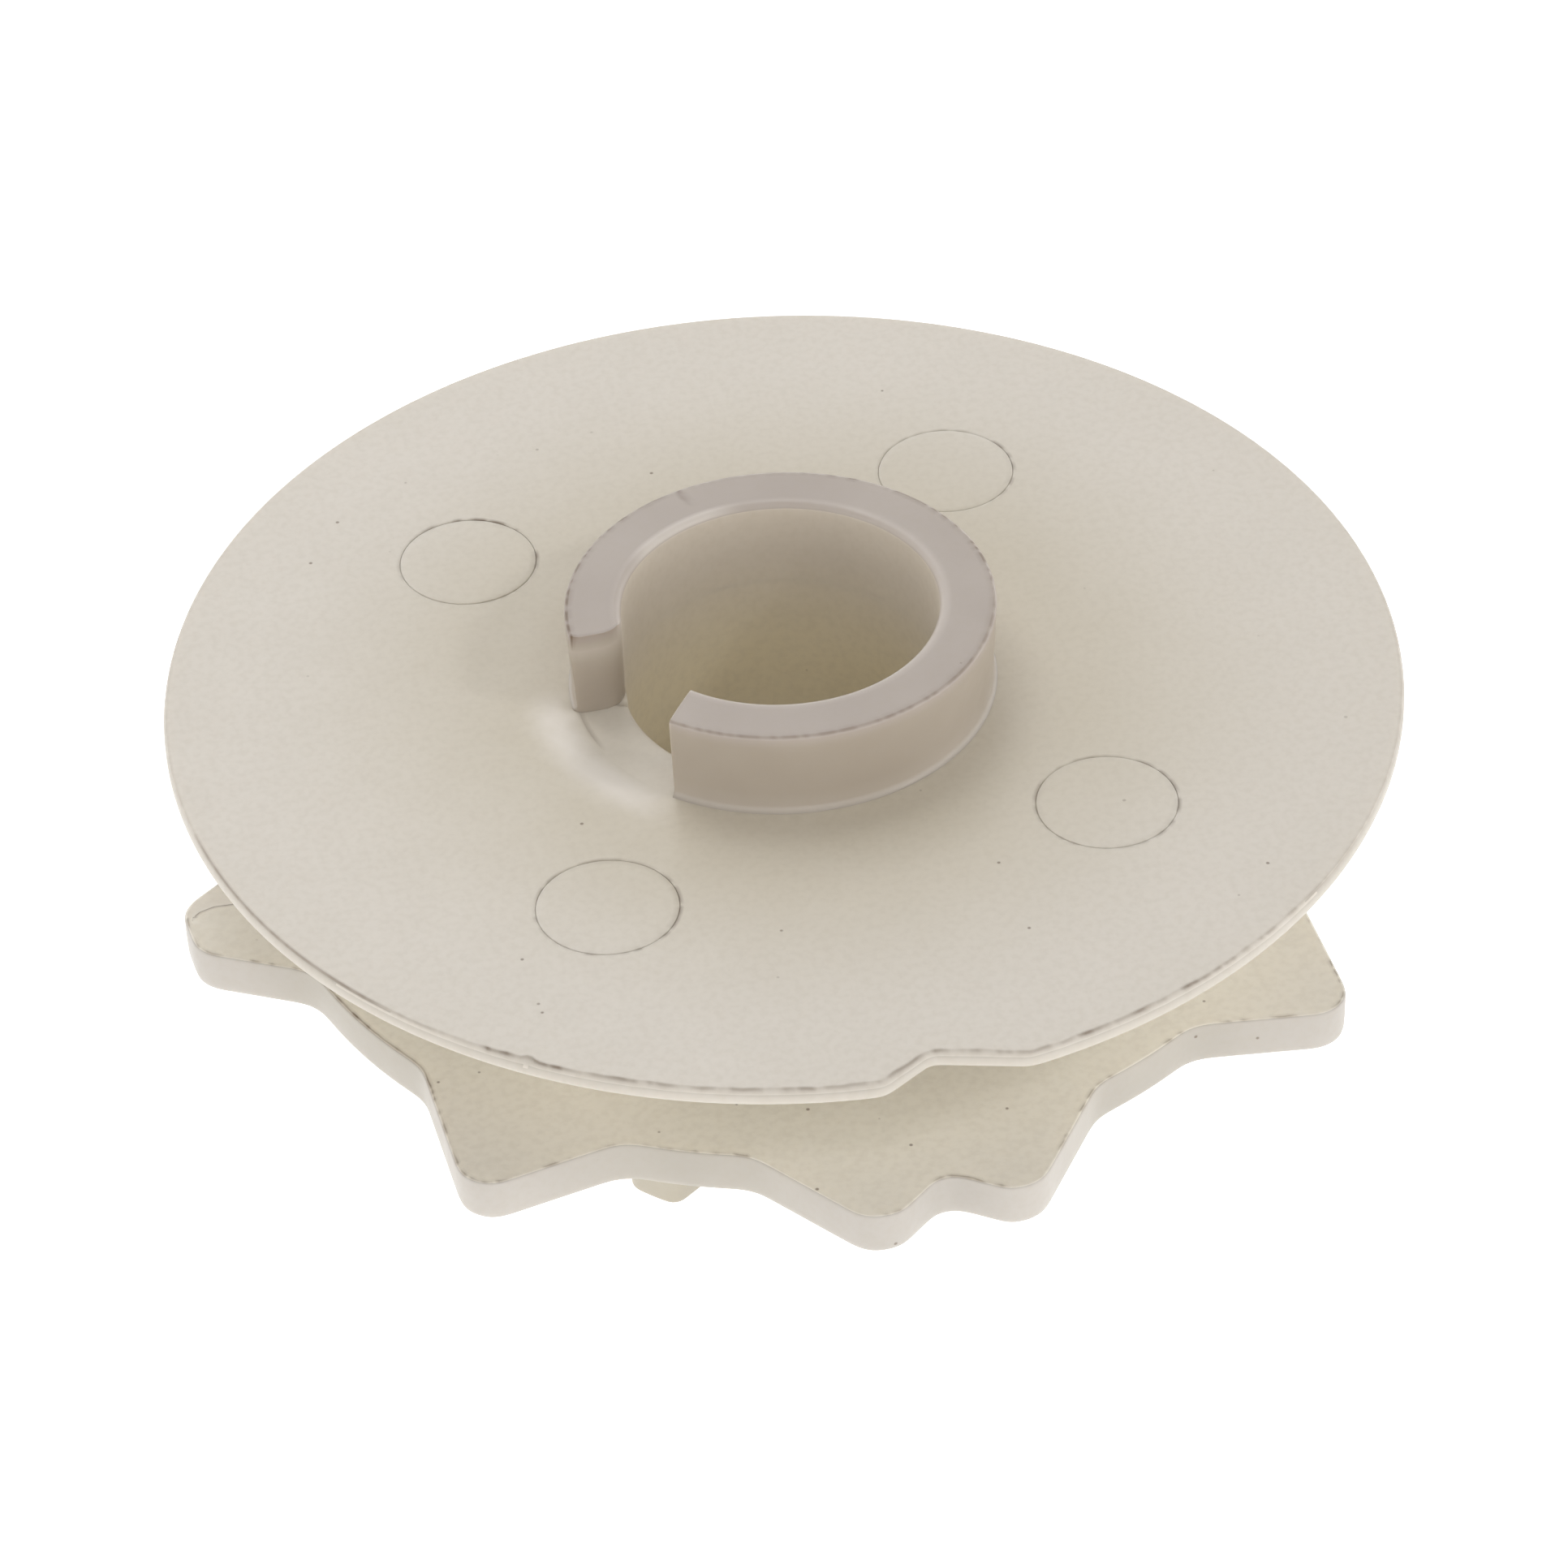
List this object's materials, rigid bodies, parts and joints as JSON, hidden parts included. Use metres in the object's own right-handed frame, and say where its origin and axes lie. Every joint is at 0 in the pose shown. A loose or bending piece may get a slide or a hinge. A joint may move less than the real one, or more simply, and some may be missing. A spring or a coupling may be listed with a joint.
{
  "type": "spur gear",
  "caption": "Moulded index gear: a toothed star wheel and spur pinion under a thin notched flange, with a split collar round a plain bore.",
  "frame": {"origin": "on the bore's axis, in the plane of the pinion's lower face", "axes": "+Z along the bore, up through the split collar; the star wheel's notched index tooth points to -Y; the collar's slot opens towards -X"},
  "size_m": [0.0404, 0.0402, 0.0189],
  "materials": {
    "flange": "natural cream-white moulded plastic, satin, slightly translucent",
    "collar": "the same plastic, a little darker and handled",
    "hub": "natural cream-white moulded plastic, satin",
    "star": "natural cream-white moulded plastic, satin, with a fine flash line",
    "pinion": "natural cream-white moulded plastic, satin",
    "pins": "natural cream-white moulded plastic, satin"
  },
  "bodies": {
    "root": {"flange_disc": "flange", "split_collar": "collar", "spacer_hub": "hub", "star_wheel": "star", "spur_pinion": "pinion", "joining_pin_1": "pins", "joining_pin_2": "pins", "joining_pin_3": "pins", "joining_pin_4": "pins"}
  },
  "joints": []
}
